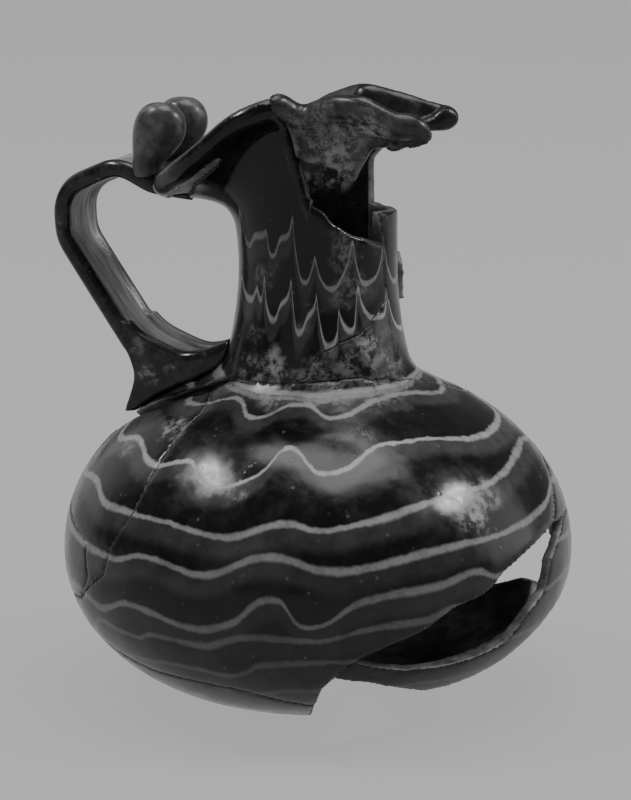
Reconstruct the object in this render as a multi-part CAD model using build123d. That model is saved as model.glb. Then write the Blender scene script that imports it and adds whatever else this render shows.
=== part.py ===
from build123d import *
import math
import os

# A small one-handled pouring jug of dark glass with a three-lobed mouth.
# It is mended from sherds, and some sherds are lost, so it is open on the right,
# below the handle and at the front of the spout.
# Millimetres. Z is up, the spout points to +X and the handle to -X.
# The origin is the centre of the flat base, on the surface that the jug stands on.

# Vessel
body_radius = 40.2
base_radius = 16.5
base_thickness = 2.3
shoulder_height = 52.0
neck_radius = 12.4
neck_foot_radius = 14.2
neck_foot_rise = 2.0
neck_top_height = 70.0
wall = 1.7

# Mouth
spout_reach = 27.5
rim_height = 94.8
lip_thickness = 2.6
mouth_proud = 0.05

# Handle strap and its root on the shoulder
strap_width = 11.0
strap_web = 1.9
strap_edge = 3.0
strap_rise = 3.0
strap_reach = 43.4
strap_bend = 6.0
root_width = 11.0

# Thumb rest: two pads side by side over the back of the lip
pad_rise = 12.4
pad_depth = 8.8
pad_width = 7.2
pad_spacing = 7.4
pad_stem_depth = 4.0

# Joins between sherds
chip_offset = 1.5
cut_reach = 4.0

os.makedirs("parts", exist_ok=True)

# Outline of the vessel as tangent arcs that start at the widest place: reach as a
# share of the body's radius, height as a share of the shoulder's.
belly_share = 0.442
upper_arc_shares = [(0.881, 0.715), (0.570, 0.906), (0.428, 0.962)]
lower_arc_shares = [(0.896, 0.212), (0.684, 0.075)]


def outline_point(radius, height):
    return Vector(radius, 0, height)


widest = outline_point(body_radius, shoulder_height * belly_share)
upper_points = [widest]
for radius_share, height_share in upper_arc_shares:
    upper_points.append(outline_point(body_radius * radius_share, shoulder_height * height_share))
upper_points.append(outline_point(neck_foot_radius, shoulder_height + neck_foot_rise))
upper_points.append(outline_point(neck_radius, neck_top_height))
lower_points = [widest]
for radius_share, height_share in lower_arc_shares:
    lower_points.append(outline_point(body_radius * radius_share, shoulder_height * height_share))
lower_points.append(outline_point(base_radius, 0))


def arc_chain(points, start):
    # Arcs through the points, each tangent to the one before.
    arcs = []
    along = start
    for begin, end in zip(points, points[1:]):
        arc = TangentArc(begin, end, tangent=along)
        arcs.append(arc)
        along = arc.tangent_at(1)
    return arcs


def inset_chain(arcs, side, finish=None):
    # The same arcs one wall further in, with the last one led to a given end.
    insets = []
    for arc in arcs:
        ends = []
        for share in (0, 1):
            along = arc.tangent_at(share)
            ends.append(arc.position_at(share) + Vector(-along.Z, 0, along.X) * wall * side)
        if finish is not None and arc is arcs[-1]:
            ends[1] = finish
        insets.append(TangentArc(ends[0], ends[1], tangent=arc.tangent_at(0)))
    return insets


upper_arcs = arc_chain(upper_points, Vector(0, 0, 1))
lower_arcs = arc_chain(lower_points, Vector(0, 0, -1))
upper_inner = inset_chain(upper_arcs, 1, outline_point(neck_radius - wall, neck_top_height))
lower_inner = inset_chain(lower_arcs, -1)
outline = lower_arcs[::-1] + upper_arcs

neck_axis = Vector(0, 0, neck_top_height)
top_line = Line(upper_arcs[-1].position_at(1), upper_inner[-1].position_at(1))
floor_line = Line(lower_inner[-1].position_at(1), Vector(0, 0, base_thickness))
axis_line = Line(Vector(0, 0, base_thickness), Vector(0, 0, 0))
foot_line = Line(Vector(0, 0, 0), outline_point(base_radius, 0))
turned_face = make_face(
    outline + [top_line] + upper_inner + lower_inner + [floor_line, axis_line, foot_line]
)
turned_vessel = revolve(turned_face, Axis.Z, 360)

filled_face = make_face(
    outline
    + [
        Line(outline_point(neck_radius, neck_top_height), neck_axis),
        Line(neck_axis, Vector(0, 0, 0)),
        foot_line,
    ]
)
filled_vessel = revolve(filled_face, Axis.Z, 360)

# Edge of the mouth: azimuth in degrees from the spout, reach as a share of the
# spout's, and height as a share of the rise from the neck's top to the rim's crest.
lip_shares = [
    (-180, 0.891, 0.363),
    (-155, 0.916, 0.411),
    (-130, 0.836, 0.600),
    (-110, 0.709, 0.855),
    (-95, 0.600, 0.964),
    (-84, 0.502, 0.944),
    (-74, 0.465, 0.895),
    (-64, 0.510, 0.952),
    (-52, 0.636, 1.000),
    (-40, 0.764, 0.968),
    (-30, 0.873, 0.871),
    (-20, 0.938, 0.800),
    (-8, 0.989, 0.750),
    (8, 0.989, 0.734),
    (20, 0.938, 0.750),
    (32, 0.873, 0.774),
    (45, 0.760, 0.823),
    (54, 0.640, 0.871),
    (64, 0.516, 0.919),
    (74, 0.465, 0.935),
    (84, 0.502, 0.923),
    (95, 0.600, 0.895),
    (110, 0.709, 0.823),
    (130, 0.836, 0.600),
    (155, 0.916, 0.411),
]
# Flare of the mouth's wall: share of the way out to the lip, share of its rise.
flare_shares = [(0.015, 0.25), (0.05, 0.47), (0.13, 0.64), (0.30, 0.78), (0.58, 0.89)]
rim_rise = rim_height - neck_top_height
section_step = 9


def height_of(share):
    # Shares up to 1 are of the neck's top height, and the rest goes on up the rim's rise.
    return neck_top_height * min(share, 1) + rim_rise * max(share - 1, 0)


def lip_at(azimuth):
    # Reach and rise of the lip at an azimuth, between the rows of its table.
    rows = lip_shares + [(lip_shares[0][0] + 360, *lip_shares[0][1:])]
    azimuth = (azimuth + 180) % 360 - 180
    for before, after in zip(rows, rows[1:]):
        if before[0] <= azimuth <= after[0]:
            part = (azimuth - before[0]) / (after[0] - before[0])
            return tuple(b + (a - b) * part for b, a in zip(before[1:], after[1:]))


def resample(path, low, count):
    # The stretch of a path of radii and heights above a height, in even steps.
    kept = []
    for (r0, z0), (r1, z1) in zip(path, path[1:]):
        if not kept and z1 > low:
            part = max((low - z0) / (z1 - z0), 0)
            kept.append((r0 + (r1 - r0) * part, z0 + (z1 - z0) * part))
        if kept:
            kept.append((r1, z1))
    marks = [0]
    for (r0, z0), (r1, z1) in zip(kept, kept[1:]):
        marks.append(marks[-1] + math.hypot(r1 - r0, z1 - z0))
    even = []
    for step in range(count + 1):
        goal = marks[-1] * step / count
        index = max(i for i in range(len(kept) - 1) if marks[i] <= goal or i == 0)
        part = (goal - marks[index]) / (marks[index + 1] - marks[index])
        (r0, z0), (r1, z1) = kept[index], kept[index + 1]
        even.append((r0 + (r1 - r0) * part, z0 + (z1 - z0) * part))
    return even


def mouth_section(azimuth, low, count=6):
    # Closed section through the mouth's wall at an azimuth, from a lower edge up the
    # outside, over the rolled lip and down the inside.
    reach_share, rise_share = lip_at(azimuth)
    reach = spout_reach * reach_share
    edge_height = neck_top_height + rim_rise * rise_share
    roll = reach - lip_thickness / 2
    foot = neck_radius + mouth_proud
    path = [(foot, neck_top_height)]
    for out_share, up_share in flare_shares:
        radius = foot + (roll - foot) * out_share
        path.append((radius, neck_top_height + (edge_height - neck_top_height) * up_share))
    path.append((roll, edge_height - lip_thickness / 2))
    outside = resample(path, low, count)
    inside = []
    for index in range(count):
        before = outside[max(index - 1, 0)]
        after = outside[index + 1]
        run = after[0] - before[0]
        rise = after[1] - before[1]
        if index == 0:
            run = 0
        length = math.hypot(run, rise)
        place = outside[index]
        inside.append((place[0] - rise / length * wall, place[1] + run / length * wall))
    lip = [
        (reach, edge_height),
        (roll, edge_height + lip_thickness / 2),
        (reach - lip_thickness, edge_height + lip_thickness / 6),
    ]
    turn = math.radians(azimuth)
    points = [
        Vector(radius * math.cos(turn), radius * math.sin(turn), height)
        for radius, height in outside + lip + inside[::-1]
    ]
    return Wire([Edge.make_spline(points), Edge.make_line(points[-1], points[0])])


def mouth_piece(first, last):
    # The mouth's wall above the neck, through evenly spaced sections.
    steps = math.ceil((last - first) / section_step)
    azimuths = [first + (last - first) * step / steps for step in range(steps + 1)]
    return Solid.make_loft([mouth_section(azimuth, neck_top_height) for azimuth in azimuths])


# The neck's straight top stands on between these azimuths, up to the broken edges.
collar_span = (-75, 68)
collar_share = 1.452
collar_outline = Face(
    Wire.make_polygon(
        [
            outline_point(neck_radius - wall, neck_top_height),
            outline_point(neck_radius, neck_top_height),
            outline_point(neck_radius, height_of(collar_share)),
            outline_point(neck_radius - wall, height_of(collar_share)),
        ]
    )
).rotate(Axis.Z, collar_span[0])
collar = revolve(collar_outline, Axis.Z, collar_span[1] - collar_span[0])
vessel = turned_vessel + collar

# Joins and broken edges. Each point is an azimuth in degrees from the spout,
# negative on the near side, and a height as a share of the neck's top height, or
# above 1, of the rim's rise over it.
# A negative share is a point of the floor, at that share of the base's radius.
collar_left = (-126, 0.731)
collar_right = (-80, 0.747)
neck_fork = (-24, 0.874)
neck_split_top = (-9, 1.102)
mouth_corner = (-76, 1.421)
neck_back_top = (69, 1.271)
shoulder_back = (150, 0.693)
shoulder_right = (70, 0.686)
shoulder_corner = (50, 0.593)
gap_end = (163, 0.650)
left_top = (-130, 0.707)
left_back = (-157, 0.593)
left_foot = (-133, 0.261)
front_foot = (-158, 0.179)
base_near = (-66, 0.086)
base_back = (150, 0.171)
base_far = (62, 0.146)
window_top = (3, 0.430)
band_tip = (12, 0.424)
band_far = (40, 0.390)
band_end = (39, 0.310)
window_foot = (-57, 0.216)
band_foot = (-61.5, 0.176)
right_foot = (75, 0.364)
chip_top = (62, 0.990)
chip_foot = (65, 0.890)

crack_shares = [
    [collar_left, (-106, 0.741), (-92, 0.741), collar_right],
    [collar_right, (-70, 0.784), (-63, 0.809), (-50, 0.830), (-31, 0.854), neck_fork],
    [neck_fork, (-13, 0.901), (-6, 0.907), (-10, 0.990), neck_split_top],
    [neck_split_top, (-42, 1.189), (-60, 1.322), mouth_corner],
    [neck_split_top, (-16, 1.302), (0, 1.294), (25, 1.274), (50, 1.257), neck_back_top],
    [(174, 1.141), (172, 0.900), (163, 0.786), shoulder_back],
    [(70, 1.056), (69, 1.000), chip_top],
    [chip_top, (44, 0.986), (37, 0.943), (41, 0.879), chip_foot],
    [chip_top, (67, 0.940), chip_foot],
    [chip_foot, (74, 0.757), shoulder_right],
    [collar_right, (-50, 0.754), (-13, 0.737), (11, 0.714), (26, 0.697), (42, 0.643),
     shoulder_corner],
    [shoulder_corner, (62, 0.614), shoulder_right],
    [collar_left, (-140, 0.709), (-152, 0.674), (-162, 0.640), (-171, 0.604), (-180, 0.590),
     (-190, 0.607), (gap_end[0] - 360, gap_end[1])],
    [collar_left, left_top],
    [left_top, (-146, 0.660), left_back],
    [left_back, (-163, 0.563), (-172, 0.537), (-182, 0.534), (-190, 0.560),
     (gap_end[0] - 360, gap_end[1])],
    [gap_end, shoulder_back],
    [shoulder_back, (120, 0.707), (95, 0.686), shoulder_right],
    [left_top, (-118, 0.673), (-114, 0.591), (-113.5, 0.494), (-118, 0.407), (-119.5, 0.350),
     left_foot],
    [left_back, (-156, 0.500), (-153, 0.436), (-141, 0.417), (-129, 0.397), (-126.5, 0.326),
     left_foot],
    [left_foot, (-146, 0.237), front_foot],
    [base_near, (-83, 0.126), (-97, 0.137), (-110, 0.136), (-134, 0.163), front_foot],
    [front_foot, (-178, 0.189), (base_back[0] - 360, base_back[1])],
    [base_back, (128, 0.180), (100, 0.169), (78, 0.151), base_far],
    [base_far, (56, 0.149), (46, 0.186), (40, 0.191), (34, 0.156), (30, 0.111), (30, 0.064),
     (33, 0.021), (36, -0.940), (39, -0.620), (47, -0.200), (-70, -0.360), (-69, -0.880),
     (-68, 0.021), base_near],
    [shoulder_corner, (30, 0.543), (12, 0.483), window_top],
    [window_top, (-10, 0.407), (-20, 0.379), (-24, 0.354), (-28, 0.336), (-35, 0.323),
     (-42, 0.279), (-48, 0.259), (-54, 0.234), window_foot],
    [window_foot, (-60, 0.191), band_foot],
    [band_foot, (-64, 0.144), base_near],
    [window_top, band_tip],
    [band_tip, (28, 0.411), band_far],
    [band_far, (58, 0.371), right_foot],
    [band_tip, (5, 0.397), (-2, 0.363), (-5, 0.300), (-11, 0.264), (-17, 0.203), (-29, 0.183),
     (-44, 0.184), window_foot],
    [band_foot, (-52, 0.157), (-44, 0.131), (-34, 0.107), (-24, 0.114), (-14, 0.136),
     (-5, 0.180), (4, 0.225), (14, 0.262), (26, 0.290), band_end],
    [band_end, (41, 0.350), band_far],
    [gap_end, (158, 0.543), (150, 0.429), (156, 0.314), base_back],
    [shoulder_right, (76, 0.571), (82, 0.471), right_foot],
    [right_foot, (70, 0.286), (66, 0.214), base_far],
]
# Heights between which the joins turn from square to the belly to level.
belly_centre_share = 0.46
belly_limit_share = 0.90
widest_step = 24
flat_share = 0.00001


def outline_at(height):
    # The outline's point at a height, found by halving along its arcs.
    for arc in outline:
        low, high = sorted((0, 1), key=lambda share: arc.position_at(share).Z)
        if arc.position_at(low).Z <= height <= arc.position_at(high).Z:
            while abs(high - low) > 1e-6:
                middle = (low + high) / 2
                if arc.position_at(middle).Z < height:
                    low = middle
                else:
                    high = middle
            return arc.position_at(low)
    return outline_point(neck_radius, neck_top_height)


def cut_ends(azimuth, share):
    # Inner and outer end of the cut through the wall at one point of a join.
    centre = shoulder_height * belly_centre_share
    if share < 0:
        place = Vector(-share * base_radius, 0, 0)
        foot = centre
    elif share <= 1:
        place = outline_at(share * neck_top_height)
        limit = shoulder_height * belly_limit_share
        level = shoulder_height + neck_foot_rise
        blend = min(max((place.Z - limit) / (level - limit), 0), 1)
        foot = centre + (place.Z - centre) * blend
    if share <= 1:
        along = (place - Vector(0, 0, foot)).normalized()
        inner = place - along * (base_thickness + cut_reach)
        outer = place + along * cut_reach
    else:
        height = height_of(share)
        inner = Vector(neck_radius - base_thickness - cut_reach, 0, height)
        outer = Vector(neck_radius + cut_reach, 0, height)
    return inner.rotate(Axis.Z, azimuth), outer.rotate(Axis.Z, azimuth)


def crack_faces(points):
    # Two flat facets for each step along a join.
    fine = [points[0]]
    for point in points[1:]:
        last = fine[-1]
        steps = 1
        if point[1] >= 0 and last[1] >= 0:
            steps = max(1, math.ceil(abs(point[0] - last[0]) / widest_step))
        for step in range(1, steps + 1):
            part = step / steps
            fine.append(
                (last[0] + (point[0] - last[0]) * part, last[1] + (point[1] - last[1]) * part)
            )
    ends = [cut_ends(*point) for point in fine]
    faces = []
    for (inner_a, outer_a), (inner_b, outer_b) in zip(ends, ends[1:]):
        twist = (outer_a - inner_a).cross(inner_b - inner_a).dot(outer_b - inner_a)
        if abs(twist) < flat_share * cut_reach**3:
            faces.append(Face(Wire.make_polygon([inner_a, outer_a, outer_b, inner_b])))
        else:
            faces.append(Face(Wire.make_polygon([inner_a, outer_a, outer_b])))
            faces.append(Face(Wire.make_polygon([inner_a, outer_b, inner_b])))
    return faces


cuts = [face for crack in crack_shares for face in crack_faces(crack)]
pieces = vessel.split(Compound(children=cuts), keep=Keep.ALL)


def wall_place(azimuth, share):
    # A point in the middle of the wall.
    if share > 1:
        middle = Vector(neck_radius - wall / 2, 0, height_of(share))
    else:
        place = outline_at(share * neck_top_height)
        inner, outer = cut_ends(0, share)
        middle = place + (inner - outer).normalized() * (wall / 2)
    return middle.rotate(Axis.Z, azimuth)


def sherd_at(azimuth, share):
    # The cut piece that holds this place of the wall.
    place = wall_place(azimuth, share)
    return min(pieces, key=lambda piece: piece.distance_to(place))


# The mouth's sherds. The near join runs slantwise from the lip down to the neck,
# and the lower edges of the front pieces are broken.
join_high = (-95, 2.008)
join_low = (-75, 1.415)
near_front_breaks = [
    (-102, 1.706), (-93, 1.700), (-84, 1.677), (-74, 1.632), (-64, 1.618), (-52, 1.587),
    (-45, 1.502), (-38, 1.511), (-33, 1.601), (-29, 1.655), (-24, 1.725),
]
far_front_breaks = [(40, 1.751), (47, 1.714), (54, 1.677), (61, 1.598), (68, 1.536)]
join_turn = math.radians((join_high[0] + join_low[0]) / 2)
join_points = [
    Vector(
        neck_radius * math.cos(math.radians(azimuth)),
        neck_radius * math.sin(math.radians(azimuth)),
        height_of(share),
    )
    for azimuth, share in (join_high, join_low)
]
join_normal = (join_points[0] - join_points[1]).cross(
    Vector(math.cos(join_turn), math.sin(join_turn), 0)
)
join_plane = Plane(origin=join_points[1], z_dir=join_normal)



def lost_below(breaks, facing, left, right):
    # What is lost under a broken edge, seen along an azimuth, between two sides.
    edge = [
        (neck_radius * math.sin(math.radians(azimuth - facing)), height_of(share))
        for azimuth, share in breaks
    ]
    low = neck_top_height - cut_reach
    outline = [(left, low), (left, edge[0][1]), *edge, (right, edge[-1][1]), (right, low)]
    turn = math.radians(facing)
    view = Plane(
        origin=(0, 0, 0),
        x_dir=(-math.sin(turn), math.cos(turn), 0),
        z_dir=(math.cos(turn), math.sin(turn), 0),
    )
    points = [view.from_local_coords(Vector(across, height, 0)) for across, height in outline]
    return extrude(Face(Wire.make_polygon(points)), amount=spout_reach, dir=view.z_dir)


low_side = Keep.BOTTOM if join_normal.Z > 0 else Keep.TOP
high_side = Keep.TOP if join_normal.Z > 0 else Keep.BOTTOM
near_lobe = mouth_piece(-186, -75).split(join_plane, keep=low_side)
near_front = mouth_piece(-102, -24).split(join_plane, keep=high_side)
near_front = near_front - lost_below(near_front_breaks, -62, -spout_reach, spout_reach)
far_lobe = mouth_piece(40, 174) - lost_below(far_front_breaks, 68, -spout_reach, 0)

neck_front = sherd_at(-120, 0.90) + near_lobe
neck_chip = sherd_at(50, 0.94)
chip_turn = math.radians(chip_foot[0] - 12)
neck_chip = neck_chip.moved(
    Location((chip_offset * math.cos(chip_turn), chip_offset * math.sin(chip_turn), 0))
)

# Handle: a strap with two raised edges, bent from points of its middle line in side
# view. Reach and height are shares of the strap's greatest reach and height.
strap_height = neck_top_height + rim_rise * lip_shares[0][2] + strap_rise
strap_line_shares = [
    (0.449, 0.958), (0.622, 0.966), (0.760, 1.000), (1.000, 0.944), (0.988, 0.849), (0.712, 0.648),
]


def side_point(shares, across=0):
    return Vector(-strap_reach * shares[0], across, strap_height * shares[1])


def strap_run(across=0):
    points = [side_point(shares, across) for shares in strap_line_shares]
    return FilletPolyline(*points, radius=strap_bend)


def swept(outline, path):
    plane = Plane(origin=path @ 0, x_dir=(0, 1, 0), z_dir=path % 0)
    return sweep(plane * outline, path=path, transition=Transition.RIGHT)


edge_spread = (strap_width - strap_edge) / 2
strap_section = (
    Rectangle(edge_spread * 2, strap_web)
    + Pos(edge_spread, 0) * Circle(strap_edge / 2)
    + Pos(-edge_spread, 0) * Circle(strap_edge / 2)
)
strap = swept(strap_section, strap_run())

# The strap's root spreads into a saddle between the shoulder and the neck.
saddle_shares = [(0.740, 0.688), (0.675, 0.660), (0.585, 0.641), (0.500, 0.629),
                 (0.405, 0.637), (0.290, 0.665)]
root_back_shares = [(0.800, 0.695), (0.744, 0.654), (0.712, 0.623), (0.695, 0.593),
                    (0.706, 0.560), (0.735, 0.515)]
saddle_line = Spline(*[side_point(shares) for shares in saddle_shares])
root_back_line = Spline(*[side_point(shares) for shares in root_back_shares])
root_face = make_face(
    [
        saddle_line,
        Line(saddle_line @ 1, side_point((0.250, 0.560))),
        Line(side_point((0.250, 0.560)), root_back_line @ 1),
        root_back_line,
        Line(root_back_line @ 0, saddle_line @ 0),
    ]
)
root = extrude(root_face, amount=root_width / 2, dir=(0, 1, 0), both=True)
handle = strap + root
for side in (-1, 1):
    rail_line = Spline(*[side_point(shares, side * edge_spread) for shares in saddle_shares])
    handle += swept(Circle(strap_edge / 2), rail_line)
handle = handle - filled_vessel - near_lobe - far_lobe
handle = max(handle.solids(), key=lambda solid: solid.volume)

# Thumb rest: each pad is a loft of ovals from a narrow stem to a rounded top. The
# rows give height, reach, depth and width as shares of the pad's own.
pad_seat_share = 0.973
pad_reach_share = 0.592
pad_shares = [
    (0.030, 1.105, 0.48, 0.62),
    (0.170, 1.090, 0.52, 0.72),
    (0.380, 1.040, 0.78, 0.92),
    (0.645, 1.000, 1.00, 1.00),
    (0.865, 0.990, 0.84, 0.86),
    (1.000, 0.985, 0.36, 0.36),
]
pad_seat_height = strap_height * pad_seat_share
pad_reach = strap_reach * pad_reach_share
thumb_rest = None
for side in (-1, 1):
    ovals = []
    for height_share, reach_share, depth_share, width_share in pad_shares:
        plane = Plane(origin=(-pad_reach * reach_share, side * pad_spacing / 2,
                              pad_seat_height + pad_rise * height_share))
        ovals.append(plane * Ellipse(pad_depth * depth_share / 2, pad_width * width_share / 2))
    pad = loft(ovals)
    thumb_rest = pad if thumb_rest is None else thumb_rest + pad
stem = Plane(origin=(-pad_reach * pad_shares[1][1], 0, pad_seat_height)) * RectangleRounded(
    pad_stem_depth, pad_spacing + pad_width * 0.3, pad_stem_depth * 0.4
)
thumb_rest = thumb_rest + extrude(stem, amount=pad_rise * pad_shares[1][0])
thumb_rest = thumb_rest - handle
thumb_rest = max(thumb_rest.solids(), key=lambda solid: solid.volume)

nodes = {
    "neck_front_sherd": neck_front,
    "neck_right_sherd": sherd_at(20, 0.83),
    "neck_back_sherd": sherd_at(115, 0.88),
    "neck_chip": neck_chip,
    "mouth_front_sherd": near_front,
    "mouth_back_sherd": far_lobe,
    "body_front_sherd": sherd_at(-75, 0.50),
    "body_left_sherd": sherd_at(-132, 0.56),
    "body_back_left_sherd": sherd_at(-185, 0.38),
    "body_back_sherd": sherd_at(110, 0.43),
    "body_right_sherd": sherd_at(55, 0.48),
    "lower_right_sherd": sherd_at(26, 0.36),
    "base_sherd": sherd_at(-170, 0.08),
    "handle": handle,
    "thumb_rest": thumb_rest,
}
for name, shape in nodes.items():
    solids = shape.solids()
    print(name, len(solids), shape.is_valid, round(shape.volume, 1))
    export_step(solids[0] if len(solids) == 1 else shape, f"parts/{name}.step")
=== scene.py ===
import math
from collections import Counter, namedtuple

import bmesh
import bpy
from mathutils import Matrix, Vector, noise


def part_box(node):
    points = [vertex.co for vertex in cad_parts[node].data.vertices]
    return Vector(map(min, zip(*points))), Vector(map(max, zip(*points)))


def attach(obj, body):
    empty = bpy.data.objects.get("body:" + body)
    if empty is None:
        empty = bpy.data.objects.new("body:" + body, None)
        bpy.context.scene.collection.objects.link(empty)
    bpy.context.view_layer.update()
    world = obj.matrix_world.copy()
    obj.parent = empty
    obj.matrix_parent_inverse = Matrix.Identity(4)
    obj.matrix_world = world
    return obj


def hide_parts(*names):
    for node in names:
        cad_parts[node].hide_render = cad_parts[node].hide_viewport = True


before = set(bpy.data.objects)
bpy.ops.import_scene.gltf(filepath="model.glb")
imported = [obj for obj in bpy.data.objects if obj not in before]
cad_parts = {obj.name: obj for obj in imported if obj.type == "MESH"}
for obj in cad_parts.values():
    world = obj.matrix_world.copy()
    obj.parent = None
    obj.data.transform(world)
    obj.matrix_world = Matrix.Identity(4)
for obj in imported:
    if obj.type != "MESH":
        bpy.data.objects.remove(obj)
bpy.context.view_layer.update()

bl_info = {
    "name": "Mended glass jug",
    "version": (1, 0, 0),
    "blender": (4, 5, 0),
    "location": "3D View > Sidebar > Jug",
    "description": "Dresses the sherds of a one-handled glass jug",
    "category": "Object",
}

MM = 0.001
BODY = "root"

# Height of the neck's top, read from the frame. The mouth rises above it.
NECK_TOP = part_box("neck_back_sherd")[1].z
# Centre of the round body, and the heights between which its wall turns upright.
BODY_CENTRE = 24 * MM
LEVEL_LOW, LEVEL_HIGH = 46.8 * MM, 54 * MM
# The mouth's wall starts to lean out at a share of its rise, and leans fully a span later.
LEAN_START, LEAN_SPAN, LEAN_DEGREES = 0.58, 0.34, 58
# The rolled lip: its depth, the share of it over which the roll grows, and where it starts.
LIP_DEPTH = 5 * MM
LIP_GROWTH = 0.6
LIP_RISE = 0.86
LIPPED_SHERDS = ("mouth_back_sherd", "mouth_front_sherd", "neck_front_sherd")
# The largest sherds, whose mesh is wider so that it stays light.
BROAD_SHERDS = ("base_sherd", "body_front_sherd")
# Kinds of face on a sherd, in the order of its materials.
OUTSIDE, INSIDE, BREAK = 0, 1, 2
# The kind is told from how much a face looks along the wall, off it or towards the axis.
ALONG_WALL, OFF_WALL, TOWARDS_AXIS = 0.93, 0.55, -0.25
# A break has at least this many faces. The rim is read in sectors of this angle.
LEAST_BREAK = 420
SECTOR = math.radians(4)
# Waves per metre of the hand-worked skin and of the broken edges.
RIPPLE_SCALE, EDGE_SCALE = 70, 420
# Vertices nearer than this gap are one. A round of smoothing goes this share of its way.
MERGE_GAP = 0.001 * MM
SMOOTHING = 0.5

# Trails of pale glass on the body: strength, then azimuth from the spout in degrees and
# height in millimetres. Each row starts and ends at the back, where it meets the next.
# The lower rows are weaker, in part as painted shade under the round of the body.
BODY_TRAILS = [
    (0.75, [(-180, 51.4), (-128, 51.2), (-108, 50.9), (-92, 50.7), (-80, 50.9), (-66, 50.6),
            (-50, 50.9), (-24, 50.9), (10, 51.3), (90, 51.5), (180, 51.4)]),
    (0.50, [(-180, 50.8), (-128, 50.6), (-108, 50.2), (-92, 50.0), (-80, 50.3), (-66, 50.1),
            (-50, 50.4), (-24, 50.4), (10, 50.8), (90, 51.0), (180, 50.8)]),
    (0.75, [(-180, 47.5), (-150, 48.5), (-130, 47.6), (-107, 49.4), (-92, 47.9), (-78, 49.5),
            (-70, 49.6), (-60, 48.2), (-36, 49.6), (-20, 49.9), (14, 48.6), (60, 49.6),
            (120, 49.8), (180, 50.2)]),
    (1.00, [(-180, 42.0), (-156, 43.6), (-144, 41.6), (-132, 42.8), (-115, 40.9), (-108, 42.0),
            (-104, 42.4), (-97, 40.2), (-92, 39.8), (-87, 40.2), (-81, 42.0), (-74, 45.0),
            (-63, 42.1), (-46, 45.0), (-28, 45.2), (-6, 43.8), (26, 44.1), (42, 46.4),
            (60, 44.6), (78, 46.9), (98, 45.3), (116, 47.6), (134, 46.0), (156, 48.0),
            (180, 47.5)]),
    (0.76, [(-180, 35.0), (-166, 36.8), (-152, 35.4), (-138, 36.4), (-124, 34.4), (-106, 34.5),
            (-88, 33.6), (-72, 36.0), (-65, 35.0), (-54, 35.9), (-34, 37.9), (-12, 38.9),
            (14, 40.9), (32, 39.8), (50, 41.8), (68, 40.2), (88, 42.3), (108, 40.6), (128, 42.6),
            (150, 41.0), (166, 42.8), (180, 42.0)]),
    (0.66, [(-180, 28.0), (-162, 30.0), (-144, 28.5), (-128, 27.6), (-117, 27.4), (-106, 29.1),
            (-92, 27.9), (-75, 31.5), (-62, 29.4), (-53, 30.0), (-37, 31.5), (-20, 31.9),
            (4, 33.5), (13, 34.8), (34, 33.4), (54, 35.4), (76, 33.8), (98, 35.8), (120, 34.2),
            (144, 36.0), (164, 34.4), (180, 35.0)]),
    (0.48, [(-180, 19.5), (-160, 21.6), (-145, 19.6), (-130, 19.9), (-122, 18.9), (-110, 21.2),
            (-92, 19.6), (-84, 21.1), (-74, 25.2), (-68, 21.1), (-55, 25.2), (-38, 26.5),
            (-29, 27.5), (-22, 26.0), (0, 27.6), (24, 26.4), (50, 28.4), (78, 26.6), (104, 28.6),
            (130, 26.8), (156, 28.8), (180, 28.0)]),
    (0.28, [(-180, 12.5), (-160, 14.8), (-145, 13.0), (-132, 13.4), (-122, 16.5), (-116, 15.8),
            (-110, 15.8), (-104, 17.1), (-92, 16.9), (-79, 19.2), (-66, 19.0), (-54, 20.8),
            (-42, 21.4), (-35, 22.6), (-10, 21.0), (20, 22.0), (50, 20.0), (80, 21.4),
            (110, 19.4), (145, 20.6), (180, 19.5)]),
    (0.18, [(-180, 8.0), (-150, 10.6), (-120, 11.0), (-94, 12.4), (-88, 11.9), (-82, 12.9),
            (-78, 14.5), (-50, 15.4), (-20, 14.6), (20, 15.4), (70, 13.8), (120, 14.2),
            (180, 12.5)]),
    (0.12, [(-180, 6.0), (-130, 7.4), (-92, 9.0), (-83, 8.6), (-72, 9.6), (-30, 9.8), (40, 9.4),
            (110, 8.8), (180, 8.0)]),
]
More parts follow.
